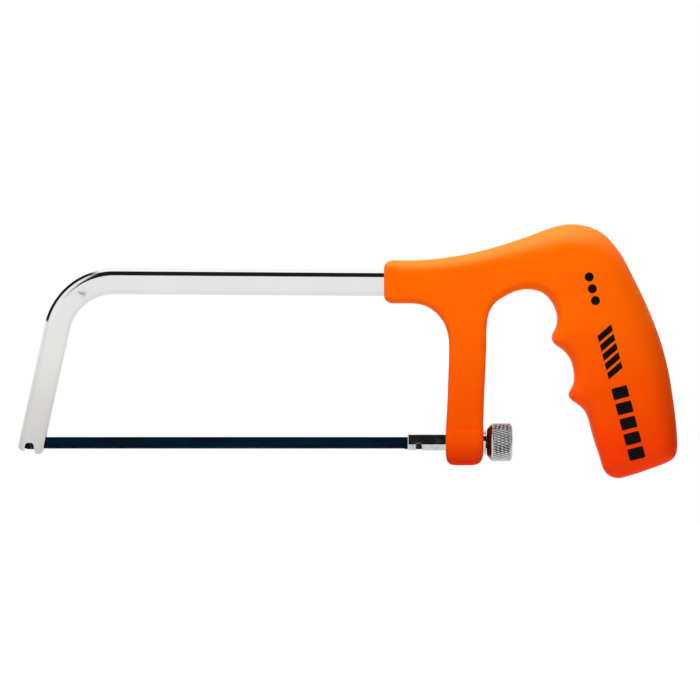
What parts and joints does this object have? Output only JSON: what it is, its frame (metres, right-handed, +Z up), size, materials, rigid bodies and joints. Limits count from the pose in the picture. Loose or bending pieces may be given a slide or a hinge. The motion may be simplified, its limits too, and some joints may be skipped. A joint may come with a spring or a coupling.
{
  "type": "junior hacksaw",
  "caption": "Small hand hacksaw: bent flat steel frame, moulded pistol-grip handle, pinned fine-tooth blade and a knurled nut that tensions it.",
  "frame": {"origin": "under the middle of the bounding box, level with the lowest point of the grip", "axes": "+X along the blade from the front arm to the handle, +Z up from the teeth to the back of the frame, Y across the saw's thickness"},
  "size_m": [0.2484, 0.026, 0.0958],
  "materials": {
    "bar_plating": "bright nickel plate on a rolled bar, faint drawn lines",
    "nut_plating": "bright nickel plate on machined steel",
    "handle_plastic": "satin moulded plastic with a fine grain",
    "blade_lacquer": "thin dark blue lacquer on spring steel",
    "plain_steel": "plain oiled steel"
  },
  "bodies": {
    "frame": {"frame_bar": "bar_plating", "handle_shell_left": "handle_plastic", "handle_shell_right": "handle_plastic", "cross_pin_sleeve": "plain_steel", "cross_pin_leg_upper": "plain_steel", "cross_pin_leg_lower": "plain_steel", "drawbar_guide": "plain_steel", "thrust_bush": "plain_steel", "thrust_washer": "nut_plating"},
    "nut": {"tension_nut": "nut_plating"},
    "drawbar": {"drawbar": "nut_plating"},
    "blade": {"blade_strip": "blade_lacquer", "blade_pin_front": "plain_steel", "blade_pin_rear": "plain_steel"}
  },
  "joints": [
    {"name": "nut_turn", "type": "hinge", "parent": "frame", "child": "nut", "pos_m": [0.057, 0, 0.0135], "axis": [1, 0, 0], "range_deg": [0, 450]},
    {"name": "drawbar_slide", "type": "slide", "parent": "frame", "child": "drawbar", "axis": [-1, 0, 0], "range_m": [0, 0.001]},
    {"name": "blade_swing", "type": "hinge", "parent": "drawbar", "child": "blade", "pos_m": [0.0268, 0, 0.0122], "axis": [0, -1, 0], "range_deg": [0, 90]}
  ],
  "couplings": [
    {"joint": "drawbar_slide", "follows": "nut_turn", "m_per_rad": 0.0001273}
  ]
}
